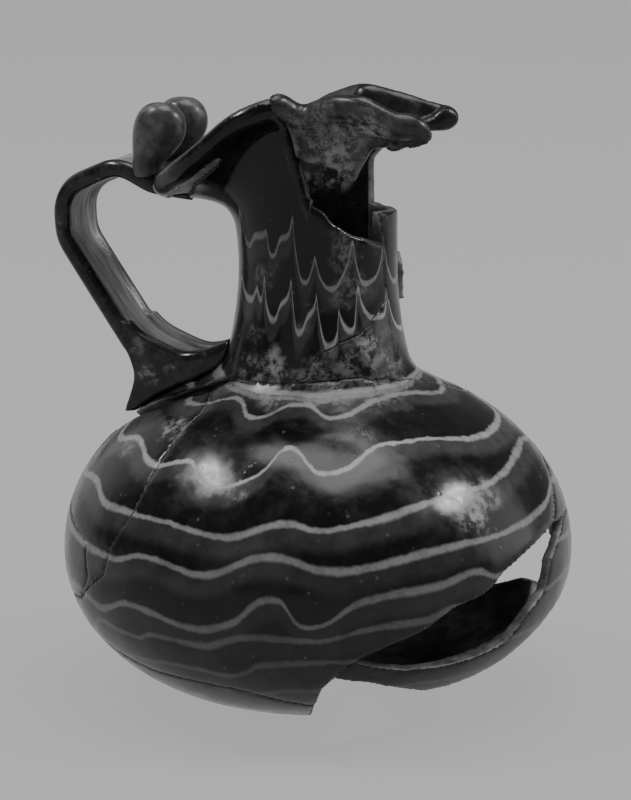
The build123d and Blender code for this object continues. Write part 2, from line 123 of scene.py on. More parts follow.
# Trails on the neck, combed up into sharp points between hanging swags.
NECK_TRAILS = [
    (0.62, [(-180, 72.0), (-172, 76.5), (-164, 71.5), (-152, 73.0), (-144, 72.0), (-132, 77.4),
            (-123, 72.2), (-115, 73.8), (-107, 74.1), (-104, 74.6), (-99, 71.0), (-92, 73.8),
            (-87, 74.3), (-83, 77.2), (-80, 70.8), (-74, 67.3), (-70, 69.0), (-67, 71.6),
            (-64, 68.3), (-56, 66.2), (-47, 68.3), (-42, 71.7), (-40, 74.2), (-36, 69.0),
            (-30, 66.8), (-18, 68.0), (-10, 73.5), (-4, 68.0), (8, 66.0), (22, 69.0), (30, 73.8),
            (38, 68.5), (52, 66.5), (66, 69.5), (74, 74.0), (84, 69.0), (100, 67.5), (114, 70.0),
            (124, 75.5), (132, 70.5), (146, 69.5), (158, 72.0), (166, 76.5), (172, 71.0),
            (180, 72.0)]),
    (1.00, [(-180, 64.0), (-170, 68.0), (-162, 63.0), (-148, 64.0), (-136, 66.8), (-128, 64.2),
            (-120, 63.7), (-114, 65.7), (-109, 64.0), (-107, 67.8), (-103, 62.9), (-97, 61.2),
            (-92, 63.6), (-87, 64.8), (-84, 68.0), (-82, 62.5), (-78, 59.6), (-72, 62.0),
            (-68, 63.1), (-66, 65.4), (-63, 60.2), (-58, 57.6), (-52, 59.5), (-51, 63.3),
            (-47, 60.6), (-42, 59.8), (-38, 62.9), (-36, 67.8), (-33, 63.8), (-25, 61.6),
            (-14, 61.5), (-7, 65.0), (0, 60.0), (14, 58.5), (26, 61.0), (32, 66.0), (40, 60.5),
            (56, 59.0), (68, 62.0), (74, 66.5), (82, 60.5), (98, 59.5), (110, 62.5), (118, 67.0),
            (126, 61.5), (142, 60.5), (154, 63.5), (162, 68.0), (170, 63.0), (180, 64.0)]),
]
# Pale patches: azimuth from the spout, distance from the axis, height, size in
# millimetres, and strength.
NECK_PATCHES = [
    (-94, 14.0, 54.4, 2.3, 1.0), (-86, 14.0, 53.9, 2.0, 0.9), (-31, 13.5, 57.3, 3.2, 1.0),
    (-25, 14.0, 54.8, 2.6, 0.6), (-60, 14.5, 51.6, 3.0, 0.6), (-45, 13.6, 55.4, 4.6, 0.45),
    (-14, 14.2, 55.0, 4.6, 0.5), (-68, 14.0, 54.0, 3.0, 0.5), (-106, 14.2, 53.4, 3.0, 0.6),
    (-58, 16.9, 50.8, 4.4, 0.6), (-88, 16.9, 50.8, 4.0, 0.6), (-30, 17.2, 50.6, 4.6, 0.5),
    (-116, 16.6, 51.0, 3.0, 0.6), (-74, 12.6, 62.0, 2.6, 0.3), (-50, 12.5, 65.0, 2.8, 0.35),
    (-112, 13.0, 58.0, 2.2, 0.5), (-108, 12.4, 68.5, 2.4, 0.7), (-46, 12.4, 72.5, 3.2, 0.4),
    (-40, 12.4, 66.0, 3.4, 0.35), (40, 13.0, 62.0, 4.0, 0.6), (110, 13.2, 56.0, 4.2, 0.7),
    (165, 12.6, 66.0, 3.5, 0.5), (70, 13.0, 74.0, 3.0, 0.5),
]
# On the body the patches from -101 to -88 degrees are painted highlights, and those at -27 and
# -20 degrees are painted highlights over a crackled pale patch.
BODY_PATCHES_AND_HIGHLIGHTS = [
    (-101, 32.0, 41.4, 2.6, 0.7), (-95, 33.2, 40.0, 2.8, 0.8), (-88, 33.2, 40.2, 2.6, 0.7),
    (-27, 36.5, 35.4, 4.6, 0.9), (-20, 35.5, 37.6, 3.2, 0.7), (-122, 27.0, 46.0, 3.4, 0.9),
    (-133, 31.0, 41.5, 3.0, 0.5), (-50, 24.0, 48.4, 3.4, 0.4), (30, 34.0, 36.0, 5.0, 0.6),
    (95, 33.0, 38.0, 6.0, 0.7), (150, 36.0, 32.0, 6.0, 0.5), (-170, 30.0, 12.0, 6.0, 0.5),
]
# Painted shade along the open seam under the handle's root, where the dark inside shows
# through the gap: azimuth, distance from the axis and height, then its width in
# millimetres and its strength.
SEAM = [
    (-122, 15.6, 51.8), (-128, 16.0, 51.1), (-136, 17.0, 50.0), (-144, 19.0, 48.9),
    (-150, 21.0, 47.9), (-153, 23.0, 46.9), (-156, 26.0, 45.6), (-156, 28.0, 44.4),
    (-158, 30.0, 42.9), (-156, 32.2, 41.1), (-151, 33.7, 39.6), (-146, 34.8, 38.1),
]
SEAM_WIDTH, SEAM_STRENGTH = 1.7, 1.0
SEAM_SHADE_PATCHES = [
    (*(first + (second - first) * share for first, second in zip(low, high)),
     SEAM_WIDTH, SEAM_STRENGTH)
    for low, high in zip(SEAM, SEAM[1:]) for share in (0.0, 0.25, 0.5, 0.75)
]
ROOT_PATCHES = [
    (-168.5, 27.6, 48.2, 2.2, 0.9), (-169, 29.6, 52.9, 1.5, 0.7), (-170, 33.0, 54.0, 1.6, 0.6),
    (-166, 23.5, 50.0, 1.6, 0.5), (-171, 36.5, 49.0, 1.6, 0.5), (170, 28.0, 50.0, 2.4, 0.6),
]
# Paler patches on the sherds of the mouth.
MOUTH_PATCHES = [
    (-93, 16.5, 89.5, 3.4, 1.0), (-71, 15.5, 88.0, 6.2, 0.9), (-41, 18.5, 91.3, 4.8, 1.0),
    (-55, 14.5, 86.0, 6.0, 0.8), (-63, 14.0, 83.4, 5.2, 0.75), (-82, 14.5, 87.6, 4.4, 0.8),
    (-50, 17.5, 89.2, 5.2, 0.8), (-68, 14.5, 85.0, 5.0, 0.7),
    (100, 12.0, 80.5, 3.6, 1.0), (84, 12.0, 84.0, 4.0, 0.6), (118, 13.0, 78.0, 3.0, 0.6),
    (60, 18.0, 90.0, 5.0, 0.3), (150, 15.0, 86.0, 4.4, 0.4), (-150, 15.0, 84.0, 3.4, 0.4),
]
# Greatest height in millimetres that the curve of a trail can hold.
TRAIL_RANGE = 100.0

# Noises that the materials share: waves per metre, detail, roughness and distortion.
WANDER = (95, 3, 0.55)
RAGGED = (900, 2, 0.55)
TRAIL_SWELL = (60, 2, 0.55)
BLOOM = (85, 6, 0.68, 0.6)
DUST = (1500, 3, 0.7)
SPECK_CLUSTERS = (260, 3, 0.55)
MOTTLE = (330, 5, 0.65)
LUMPS = (130, 2, 0.45)
DRIFT = (260, 4, 0.5)
GRAIN = (620, 5, 0.75)
STREAKS = (2600, 3, 0.55)
PAPER = (40, 4, 0.55)
SPECK_CELLS = 620

# How far a trail wanders and frays, and the shares of its half width where it starts to fade
# and ends. A weak trail has a weaker veil below it, and at least a trace of one.
WANDER_REACH, RAGGED_REACH = 1.1 * MM, 0.45 * MM
TRAIL_CORE, TRAIL_EDGE = 0.35, 1.35
VEIL_CORE, VEIL_TRACE, VEIL_POWER = 0.55, 0.10, 1.4
LEAST_SLOPE = 0.2
# Shares of a patch's size where it starts to fade and ends.
PATCH_CORE, PATCH_EDGE = 0.25, 1.15
# Where a mask starts and is full on its noise, and what it starts and ends at if not 0 and 1.
SWELL_RANGE = (0.3, 0.7, 0.65, 1.25)
SPECK_RANGE = (0.10, 0.24, 1.0, 0.0)
CLUSTER_RANGE = (0.52, 0.66)
GRAIN_RANGE = (0.42, 0.60)
MOTTLE_RANGE = (0.38, 0.70)
FRACTURE_RANGE = (0.35, 0.65)
STREAK_RANGE = (0.32, 0.68)
VEIL_WEAR = (0.25, 0.75, 0.55, 1.0)
LINE_WEAR = (0.25, 0.60, 0.60, 1.0)
BLOOM_START, BLOOM_EDGE, DUST_SHARE = 0.84, 0.16, 0.22
# How much of the mottle, the specks and the bloom shows, in colour and in height.
MOTTLE_SHARE, MOTTLE_LIFT, MOTTLE_HEIGHT = 0.55, 4.0, 0.16
SPECK_SHARE, SPECK_DEPTH = 0.20, 0.12
WALL_BLOOM_SHARE, STRAP_BLOOM_SHARE = 0.85, 0.7
# How much rougher the glass is where it has mottle, trails, patches and bloom.
ROUGH_MOTTLE, ROUGH_TRAIL, ROUGH_PATCH, ROUGH_BLOOM = 0.12, 0.15, 0.20, 0.25

# Polish of the glass, the weight of its coat on the walls and the strap, the depth of the
# bumps, and the near-black colour of the painted shade in the open seam.
GLASS_IOR, SHEEN, COAT_ROUGHNESS = 1.52, 0.30, 0.08
WALL_COAT, STRAP_COAT = 0.03, 0.08
WALL_BUMP, STRAP_BUMP, BREAK_BUMP = 0.5 * MM, 0.4 * MM, 0.3 * MM
SEAM_SHADE_COLOUR = (0.001, 0.001, 0.001)
# The strap's streaked face, painted paler as a reflection of the bright floor: where it ends
# in front of the handle and over how much, how soft its sides are, how far its streaks are
# drawn out, and how much of it shows.
STREAK_FRONT, STREAK_FADE = 17 * MM, 4 * MM
FACE_EDGE = 1.25
STREAK_STRETCH = (0.06, 1.0, 0.06)
FACE_REFLECTION_SHARE, STREAK_SHADE, STREAK_HEIGHT = 0.9, 0.35, 0.25
# The strap's rails: how far their dark and their pale mottle are lifted, their roughness and
# what the face adds to it, then the strap's bloom and the strength of its bump.
RAIL_DARK, RAIL_PALE = 2.0, 11.0
RAIL_ROUGHNESS, FACE_ROUGHNESS = 0.20, 0.18
STRAP_BLOOM, STRAP_RELIEF = 0.36, 0.4
# The broken edges: how dark their mottle is, their roughness and the strength of their bump.
FRACTURE_SHADE, FRACTURE_ROUGHNESS, FRACTURE_RELIEF = 0.35, 0.45, 0.5

# Finishes of the glass: strength of the trails, bloom, roughness, depth of the bump, how far
# the dark colour is lifted, the group of patches that it has, and whether the painted shade
# of the open seam shows.
Finish = namedtuple("Finish", "trails bloom roughness bump lift patches seam")
FINISHES = {
    "trailed_glass": Finish(1.0, 0.10, 0.16, 0.35, 1.0, "Pale patches and painted highlights", True),
    "inner_glass": Finish(0.45, 0.40, 0.34, 0.40, 9.0, None, False),
    "mouth_glass": Finish(0.0, 0.46, 0.24, 0.50, 2.0, "Pale mouth patches", False),
    "pad_glass": Finish(0.0, 0.50, 0.26, 0.50, 13.0, None, False),
    "pale_front_glass": Finish(0.0, 0.56, 0.24, 0.50, 6.0, "Pale mouth patches", False),
}

# Studio lights: direction from the jug, distance and size in metres, and watts.
STUDIO_LIGHTS = [
    ("left_window", (-0.53, -0.19, 0.82), 0.75, (0.26, 0.09), 2.4),
    ("right_window", (0.69, 0.28, 0.66), 0.75, (0.20, 0.08), 2.2),
    ("top_soft", (0.05, 0.10, 1.00), 1.20, (0.90, 0.70), 10.0),
    ("left_side", (-0.86, 0.36, 0.30), 1.20, (0.70, 0.80), 0.8),
    ("right_side", (0.80, 0.52, 0.30), 1.20, (0.70, 0.80), 2.4),
    ("front_fill", (-0.10, -0.95, 0.30), 1.40, (1.00, 0.80), 0.8),
]
ROOM_COLOUR, ROOM_LIGHT = (0.47, 0.47, 0.48, 1.0), 0.32
# The floor: how far it reaches, how dark its grain is, its finish and the tint of its glow.
FLOOR_REACH = 6.0
FLOOR_GRAIN, FLOOR_ROUGHNESS, FLOOR_SHEEN = 0.985, 0.9, 0.1
GLOW_TINT = (1.0, 1.0, 1.02, 1.0)
# The camera's sensor in millimetres, and the nearest and furthest that it sees in metres.
# The picture's height in pixels, and how far the jug's axis stands right of its middle.
SENSOR_HEIGHT = 36.0
NEAREST, FURTHEST = 0.01, 30
FRAME_HEIGHT, AXIS_RIGHT = 800, 2.5


# ---------------------------------------------------------------- settings

class JugSizes(bpy.types.PropertyGroup):
    skin_step: bpy.props.FloatProperty(
        name="Skin step", description="Spacing of the mesh that carries the worn skin",
        default=0.3 * MM, min=0.1 * MM, unit="LENGTH")
    broad_step: bpy.props.FloatProperty(
        name="Broad skin step", description="Spacing of the mesh on the largest sherds",
        default=0.36 * MM, min=0.1 * MM, unit="LENGTH")
    wear_rounds: bpy.props.IntProperty(
        name="Wear", description="How many times the skin is smoothed, as by handling",
        default=4, min=0)
    ripple: bpy.props.FloatProperty(
        name="Ripple", description="Depth of the uneven hand-worked surface",
        default=0.06 * MM, min=0.0, unit="LENGTH")
    wall_rounds: bpy.props.IntProperty(
        name="Wall evening", description="How many times the walls between the breaks are evened",
        default=24, min=0)
    strap_rounds: bpy.props.IntProperty(
        name="Strap wear", description="How many times the handle and its pads are smoothed",
        default=22, min=0)
    mouth_rounds: bpy.props.IntProperty(
        name="Mouth wear", description="How many times the sherds of the mouth are smoothed",
        default=9, min=0)
    lip_swell: bpy.props.FloatProperty(
        name="Lip swell", description="How far the rolled lip is filled out",
        default=0.75 * MM, min=0.0, unit="LENGTH")
    edge_ripple: bpy.props.FloatProperty(
        name="Break roughness", description="Unevenness of the broken edges",
        default=0.09 * MM, min=0.0, unit="LENGTH")
    trail_width: bpy.props.FloatProperty(
        name="Trail width", description="Width of a combed trail",
        default=1.15 * MM, min=0.0, unit="LENGTH")
    veil_width: bpy.props.FloatProperty(
        name="Veil width", description="Width of the smoky band below a trail",
        default=4.2 * MM, min=0.0, unit="LENGTH")
    # The face between the rails is painted paler as a reflection of the bright floor.
    strap_face: bpy.props.FloatProperty(
        name="Strap face", description="Width of the streaked face between the rails",
        default=7.0 * MM, min=0.0, unit="LENGTH")


class GlassColours(bpy.types.PropertyGroup):
    dark: bpy.props.FloatVectorProperty(
        name="Dark glass", description="Colour of the body of the glass", subtype="COLOR",
        size=3, default=(0.0035, 0.0035, 0.0037), min=0.0, max=1.0)
    smoke: bpy.props.FloatVectorProperty(
        name="Smoky band", description="Colour below the trails", subtype="COLOR",
        size=3, default=(0.060, 0.060, 0.062), min=0.0, max=1.0)
    trail: bpy.props.FloatVectorProperty(
        name="Trail", description="Colour of the combed trails", subtype="COLOR",
        size=3, default=(0.33, 0.33, 0.325), min=0.0, max=1.0)
    bloom: bpy.props.FloatVectorProperty(
        name="Bloom", description="Colour of the pale weathered skin", subtype="COLOR",
        size=3, default=(0.30, 0.30, 0.295), min=0.0, max=1.0)
    fracture: bpy.props.FloatVectorProperty(
        name="Fracture", description="Colour of the broken edges", subtype="COLOR",
        size=3, default=(0.20, 0.20, 0.195), min=0.0, max=1.0)
    # The strap face's pale colour is a painted reflection of the bright floor; its streaks are
    # the glass's own.
    strap: bpy.props.FloatVectorProperty(
        name="Strap face", description="Colour of the streaked face between the rails",
        subtype="COLOR", size=3, default=(0.36, 0.36, 0.355), min=0.0, max=1.0)


class StageSettings(bpy.types.PropertyGroup):
    azimuth: bpy.props.FloatProperty(
        name="Camera azimuth", description="Turn of the camera round the jug",
        default=math.radians(25), subtype="ANGLE")
    elevation: bpy.props.FloatProperty(
        name="Camera elevation", description="Height angle of the camera",
        default=math.radians(13), subtype="ANGLE")
    distance: bpy.props.FloatProperty(
        name="Camera distance", description="Distance from the jug's axis",
        default=480 * MM, unit="LENGTH")
    field: bpy.props.FloatProperty(
        name="Field height", description="Height of what the frame shows at the axis",
        default=125.9 * MM, unit="LENGTH")
    aim_height: bpy.props.FloatProperty(
        name="Aim height", description="Height of the frame's centre on the axis",
        default=46.2 * MM, unit="LENGTH")
    floor: bpy.props.FloatVectorProperty(
        name="Floor", description="Colour of the floor", subtype="COLOR",
        size=3, default=(0.08, 0.08, 0.081), min=0.0, max=1.0)
    glow: bpy.props.FloatProperty(
        name="Floor glow", description="Light that comes through the floor from below",
        default=0.435, min=0.0)


# ---------------------------------------------------------------- node helpers

class Tree:
    """Short names for the nodes that the materials are built from."""

    def __init__(self, tree):
        self.tree = tree

    def node(self, kind, **values):
        node = self.tree.nodes.new(kind)
        for name, value in values.items():
            setattr(node, name, value)
        return node

    def group(self, name):
        return self.node("ShaderNodeGroup", node_tree=bpy.data.node_groups[name])

    def feed(self, socket, value):
        if isinstance(value, bpy.types.NodeSocket):
            self.tree.links.new(value, socket)
        else:
            socket.default_value = value

    def math(self, operation, *values, clamp=False):
        node = self.node("ShaderNodeMath", operation=operation, use_clamp=clamp)
        for socket, value in zip(node.inputs, values):
            self.feed(socket, value)
        return node.outputs[0]

    def plus(self, first, second, clamp=False):
        return self.math("ADD", first, second, clamp=clamp)

    def minus(self, first, second):
        return self.math("SUBTRACT", first, second)

    def times(self, first, second):
        return self.math("MULTIPLY", first, second)

    def greatest(self, masks):
        most = masks[0]
        for mask in masks[1:]:
            most = self.math("MAXIMUM", most, mask)
        return most

    def ramp(self, value, low, high, start=0.0, end=1.0):
        node = self.node("ShaderNodeMapRange", interpolation_type="SMOOTHSTEP")
        for socket, given in zip(node.inputs[:5], (value, low, high, start, end)):
            self.feed(socket, given)
        return node.outputs[0]

    def noise(self, place, scale, detail, roughness, distortion=0.0, output="Fac"):
        node = self.node("ShaderNodeTexNoise")
        for label, value in (("Vector", place), ("Scale", scale), ("Detail", detail),
                             ("Roughness", roughness), ("Distortion", distortion)):
            self.feed(node.inputs[label], value)
        return node.outputs[output]

    def mix(self, share, first, second):
        node = self.node("ShaderNodeMix", data_type="RGBA")
        self.feed(node.inputs[0], share)
        for socket, value in ((node.inputs[6], first), (node.inputs[7], second)):
            given = isinstance(value, bpy.types.NodeSocket)
            self.feed(socket, value if given else (*value, 1.0))
        return node.outputs[2]

    def split(self, vector):
        node = self.node("ShaderNodeSeparateXYZ")
        self.feed(node.inputs[0], vector)
        return node.outputs

    def place(self):
        return self.node("ShaderNodeTexCoord").outputs["Object"]


def new_group(name, inputs, outputs):
    """An empty node group with float inputs and float outputs."""
    group = bpy.data.node_groups.new(name, "ShaderNodeTree")
    for label, value in inputs:
        socket = group.interface.new_socket(label, in_out="INPUT", socket_type="NodeSocketFloat")
        socket.default_value = value
    for label in outputs:
        group.interface.new_socket(label, in_out="OUTPUT", socket_type="NodeSocketFloat")
    tree = Tree(group)
    return tree, tree.node("NodeGroupInput"), tree.node("NodeGroupOutput")


def trail_curve(tree, turn, rows, pointed):
    """Height of a trail at a share of the way round, in metres."""
    node = tree.node("ShaderNodeFloatCurve")
    tree.feed(node.inputs["Value"], turn)
    curve = node.mapping.curves[0]
    # The way round starts at the back, behind the handle.
    places = [(azimuth / 360 + 0.5, height / TRAIL_RANGE) for azimuth, height in rows]
    curve.points[0].location = places[0]
    curve.points[1].location = places[-1]
    for place in places[1:-1]:
        curve.points.new(*place)
    for index, point in enumerate(curve.points):
        around = [places[i][1] for i in (index - 1, index + 1) if 0 <= i < len(places)]
        crest = all(places[index][1] > other for other in around)
        point.handle_type = "VECTOR" if pointed and crest else "AUTO_CLAMPED"
    node.mapping.update()
    return tree.times(node.outputs[0], TRAIL_RANGE * MM)


def trails_group(sizes):
    """Masks of the combed trails and of the smoky veils below them."""
    tree, given, out = new_group(
        "Combed trails", [("Width", sizes.trail_width), ("Veil width", sizes.veil_width)],
        ["Trail", "Veil"])
    place = tree.place()
    x, y, z = tree.split(place)
    turn = tree.math("MULTIPLY_ADD", tree.math("ARCTAN2", y, x), 0.5 / math.pi, 0.5)
    wander = tree.minus(tree.noise(place, *WANDER), 0.5)
    ragged = tree.minus(tree.noise(place, *RAGGED), 0.5)
    height = tree.math("MULTIPLY_ADD", wander, WANDER_REACH, z)
    height = tree.plus(height, tree.times(ragged, RAGGED_REACH))
    # Where the wall lies flatter, a band is measured along it and not straight up.
    upright = tree.split(tree.node("ShaderNodeNewGeometry").outputs["Normal"])[2]
    slope = tree.math("SQRT", tree.minus(1.0, tree.times(upright, upright)))
    slope = tree.math("MAXIMUM", slope, LEAST_SLOPE)
    swell = tree.ramp(tree.noise(place, *TRAIL_SWELL), *SWELL_RANGE)
    half = tree.times(tree.times(given.outputs["Width"], 0.5), swell)
    band = tree.times(given.outputs["Veil width"], -1.0)
    band_core = tree.times(band, VEIL_CORE)
    lines, veils = [], []
    for pointed, rows in ((False, BODY_TRAILS), (True, NECK_TRAILS)):
        for strength, points in rows:
            centre = trail_curve(tree, turn, points, pointed)
            above = tree.math("DIVIDE", tree.minus(height, centre), slope)
            line = tree.ramp(
                tree.math("ABSOLUTE", above), tree.times(half, TRAIL_CORE),
                tree.times(half, TRAIL_EDGE), start=1.0, end=0.0)
            lines.append(tree.times(line, strength))
            veil = tree.ramp(above, band, band_core)
            veil = tree.times(veil, tree.math("LESS_THAN", above, 0.0))
            depth = VEIL_TRACE + (1 - VEIL_TRACE) * strength ** VEIL_POWER
            veils.append(tree.times(veil, depth))
    tree.feed(out.inputs["Trail"], tree.greatest(lines))
    tree.feed(out.inputs["Veil"], tree.greatest(veils))


def weather_group():
    """Masks of the bloom, the specks and the mottle, and a height for the bump."""
    tree, given, out = new_group(
        "Weathered skin", [("Bloom", 0.2)], ["Bloom", "Specks", "Mottle", "Height"])
    place = tree.place()
    dust = tree.times(tree.minus(tree.noise(place, *DUST), 0.5), DUST_SHARE)
    reach = tree.minus(BLOOM_START, tree.times(given.outputs["Bloom"], 0.5))
    bloom = tree.ramp(
        tree.plus(tree.noise(place, *BLOOM), dust), reach, tree.plus(reach, BLOOM_EDGE))
    cells = tree.node("ShaderNodeTexVoronoi", feature="F1")
    tree.feed(cells.inputs["Vector"], place)
    tree.feed(cells.inputs["Scale"], SPECK_CELLS)
    specks = tree.ramp(cells.outputs["Distance"], *SPECK_RANGE)
    specks = tree.times(specks, tree.ramp(tree.noise(place, *SPECK_CLUSTERS), *CLUSTER_RANGE))
    mottle = tree.noise(place, *MOTTLE)
    height = tree.plus(tree.noise(place, *LUMPS), tree.times(mottle, MOTTLE_HEIGHT))
    height = tree.minus(height, tree.times(specks, SPECK_DEPTH))
    for name, value in (("Bloom", bloom), ("Specks", specks), ("Mottle", mottle),
                        ("Height", height)):
        tree.feed(out.inputs[name], value)


def patches_group(name, patches, drift=7.0, whole=0.05):
    """Mask of one set of patches: for the skin, pale patches, some of them painted highlights;
    for the open seam, painted shade.

    The drift in millimetres frays their outlines, and the whole is what the grain leaves.
    """
    tree, given, out = new_group(name, [("Spread", 1.0)], ["Patch"])
    place = tree.place()
    moved = tree.node("ShaderNodeVectorMath", operation="MULTIPLY_ADD")
    tree.feed(moved.inputs[0], tree.noise(place, *DRIFT, output="Color"))
    tree.feed(moved.inputs[1], (drift * MM,) * 3)
    tree.feed(moved.inputs[2], place)
    spots = []
    for azimuth, reach, height, size, strength in patches:
        turn = math.radians(azimuth)
        centre = Vector((reach * math.cos(turn), reach * math.sin(turn), height)) * MM
        gap = tree.node("ShaderNodeVectorMath", operation="DISTANCE")
        tree.feed(gap.inputs[0], moved.outputs[0])
        tree.feed(gap.inputs[1], centre + Vector((drift / 2 * MM,) * 3))
        edge = tree.times(given.outputs["Spread"], size * MM)
        spots.append(tree.ramp(
            gap.outputs["Value"], tree.times(edge, PATCH_CORE), tree.times(edge, PATCH_EDGE),
            start=strength, end=0.0))
    grain = tree.ramp(tree.noise(place, *GRAIN), *GRAIN_RANGE, start=whole, end=1.0)
    tree.feed(out.inputs["Patch"], tree.times(tree.greatest(spots), grain))


# ---------------------------------------------------------------- materials

def shader(name):
    """The tree and the surface shader of a new material."""
    material = bpy.data.materials.new(name)
    material.use_nodes = True
    return Tree(material.node_tree), material.node_tree.nodes["Principled BSDF"]


def shade(colour, share):
    """A colour made darker or lighter by a share."""
    return tuple(share * part for part in colour)


def paint_seam_shade(tree, colour):
    """Paints shade into the open seam under the handle's root, where the dark inside shows
    through the gap.
    """
    return tree.mix(tree.group("Painted seam shade").outputs["Patch"], colour, SEAM_SHADE_COLOUR)


def weathered(tree, skin, colour, pale, share):
    """Lays the bloom and the specks of the weathered skin over a colour."""
    colour = tree.mix(tree.times(skin.outputs["Bloom"], share), colour, pale)
    return tree.mix(tree.times(skin.outputs["Specks"], SPECK_SHARE), colour, pale)


def relief(tree, surface, height, strength, distance):
    """Raises a surface by a height with a bump."""
    bump = tree.node("ShaderNodeBump")
    tree.feed(bump.inputs["Strength"], strength)
    tree.feed(bump.inputs["Distance"], distance)
    tree.feed(bump.inputs["Height"], height)
    tree.feed(surface.inputs["Normal"], bump.outputs["Normal"])


def polish(surface, coat):
    """The shine of drawn glass, under a thin coat of a given weight."""
    surface.inputs["IOR"].default_value = GLASS_IOR
    surface.inputs["Specular IOR Level"].default_value = SHEEN
    surface.inputs["Coat Weight"].default_value = coat
    surface.inputs["Coat Roughness"].default_value = COAT_ROUGHNESS


def glass_material(name, colours, finish):
    """Dark glass with a weathered skin, and the trails and patches of its finish."""
    tree, surface = shader(name)
    skin = tree.group("Weathered skin")
    tree.feed(skin.inputs["Bloom"], finish.bloom)
    mottle = tree.ramp(skin.outputs["Mottle"], *MOTTLE_RANGE)
    colour = tree.mix(
        tree.times(mottle, MOTTLE_SHARE), shade(colours.dark, finish.lift),
        shade(colours.dark, MOTTLE_LIFT * finish.lift))
    rough = tree.math("MULTIPLY_ADD", mottle, ROUGH_MOTTLE, finish.roughness)
    if finish.trails:
        comb = tree.group("Combed trails")
        veil_wear = tree.ramp(skin.outputs["Mottle"], *VEIL_WEAR)
        line_wear = tree.ramp(skin.outputs["Mottle"], *LINE_WEAR)
        veil = tree.times(tree.times(comb.outputs["Veil"], finish.trails), veil_wear)
        line = tree.times(tree.times(comb.outputs["Trail"], finish.trails), line_wear)
        colour = tree.mix(veil, colour, colours.smoke)
        colour = tree.mix(line, colour, colours.trail)
        rough = tree.plus(rough, tree.times(line, ROUGH_TRAIL))
    # Pale patches lighten the colour; on the body some of them are painted highlights.
    if finish.patches:
        patch = tree.group(finish.patches).outputs["Patch"]
        colour = tree.mix(patch, colour, colours.bloom)
        rough = tree.plus(rough, tree.times(patch, ROUGH_PATCH))
    colour = weathered(tree, skin, colour, colours.bloom, WALL_BLOOM_SHARE)
    # Painted shade over the open seam, where the dark inside shows through the gap.
    if finish.seam:
        colour = paint_seam_shade(tree, colour)
    rough = tree.plus(rough, tree.times(skin.outputs["Bloom"], ROUGH_BLOOM), clamp=True)
    tree.feed(surface.inputs["Base Color"], colour)
    tree.feed(surface.inputs["Roughness"], rough)
    relief(tree, surface, skin.outputs["Height"], finish.bump, WALL_BUMP)
    polish(surface, WALL_COAT)


def handle_material(colours, strap_face):
    """Drawn glass of the strap: dark rails, and between them a streaked face painted paler as a
    reflection of the bright floor.
    """
    tree, surface = shader("handle_glass")
    skin = tree.group("Weathered skin")
    tree.feed(skin.inputs["Bloom"], STRAP_BLOOM)
    place = tree.place()
    x, y = tree.split(place)[:2]
    half = strap_face / 2
    face = tree.ramp(
        tree.math("ABSOLUTE", y), half, half * FACE_EDGE, start=1.0, end=0.0)
    behind = tree.ramp(x, -STREAK_FRONT - STREAK_FADE, -STREAK_FRONT, start=1.0, end=0.0)
    face = tree.times(face, behind)
    stretched = tree.node("ShaderNodeVectorMath", operation="MULTIPLY")
    tree.feed(stretched.inputs[0], place)
    tree.feed(stretched.inputs[1], STREAK_STRETCH)
    streak = tree.ramp(tree.noise(stretched.outputs[0], *STREAKS), *STREAK_RANGE)
    mottle = tree.ramp(skin.outputs["Mottle"], *MOTTLE_RANGE)
    colour = tree.mix(mottle, shade(colours.dark, RAIL_DARK), shade(colours.dark, RAIL_PALE))
    # The face between the rails is painted paler as a reflection of the bright floor; the streaks
    # are the drawn glass's own.
    reflection_and_streaks = tree.mix(streak, shade(colours.strap, STREAK_SHADE), colours.strap)
    colour = tree.mix(tree.times(face, FACE_REFLECTION_SHARE), colour, reflection_and_streaks)
    colour = tree.mix(tree.group("Root patches").outputs["Patch"], colour, colours.bloom)
    colour = weathered(tree, skin, colour, colours.bloom, STRAP_BLOOM_SHARE)
    ridges = tree.times(tree.times(streak, face), STREAK_HEIGHT)
    tree.feed(surface.inputs["Base Color"], colour)
    rough = tree.math("MULTIPLY_ADD", face, FACE_ROUGHNESS, RAIL_ROUGHNESS)
    tree.feed(surface.inputs["Roughness"], rough)
    height = tree.plus(skin.outputs["Height"], ridges)
    relief(tree, surface, height, STRAP_RELIEF, STRAP_BUMP)
    polish(surface, STRAP_COAT)


def fracture_material(colours):
    """Broken edge: pale, mottled and finely rippled, with painted shade where it meets the open
    seam.
    """
    tree, surface = shader("fracture_glass")
    skin = tree.group("Weathered skin")
    mottle = tree.ramp(skin.outputs["Mottle"], *FRACTURE_RANGE)
    colour = tree.mix(mottle, shade(colours.fracture, FRACTURE_SHADE), colours.fracture)
    # Painted shade darkens the broken edges along the open seam.
    tree.feed(surface.inputs["Base Color"], paint_seam_shade(tree, colour))
    surface.inputs["Roughness"].default_value = FRACTURE_ROUGHNESS
    relief(tree, surface, skin.outputs["Height"], FRACTURE_RELIEF, BREAK_BUMP)


def glass_set():
    """The materials of the jug by name, built once."""
    if "fracture_glass" not in bpy.data.materials:
        sizes = bpy.context.scene.jug_sizes
        colours = bpy.context.scene.jug_colours
        trails_group(sizes)
        weather_group()
        # Painted shade in the open seam under the handle's root.
        patches_group("Painted seam shade", SEAM_SHADE_PATCHES, drift=1.0, whole=1.0)
        # Pale patches of the neck and the body; some on the body are painted highlights.
        patches_group("Pale patches and painted highlights", NECK_PATCHES + BODY_PATCHES_AND_HIGHLIGHTS)
        patches_group("Pale mouth patches", MOUTH_PATCHES)
        patches_group("Root patches", ROOT_PATCHES)
        for name, finish in FINISHES.items():
            glass_material(name, colours, finish)
        handle_material(colours, sizes.strap_face)
        fracture_material(colours)
    return bpy.data.materials


# ---------------------------------------------------------------- sherd meshes

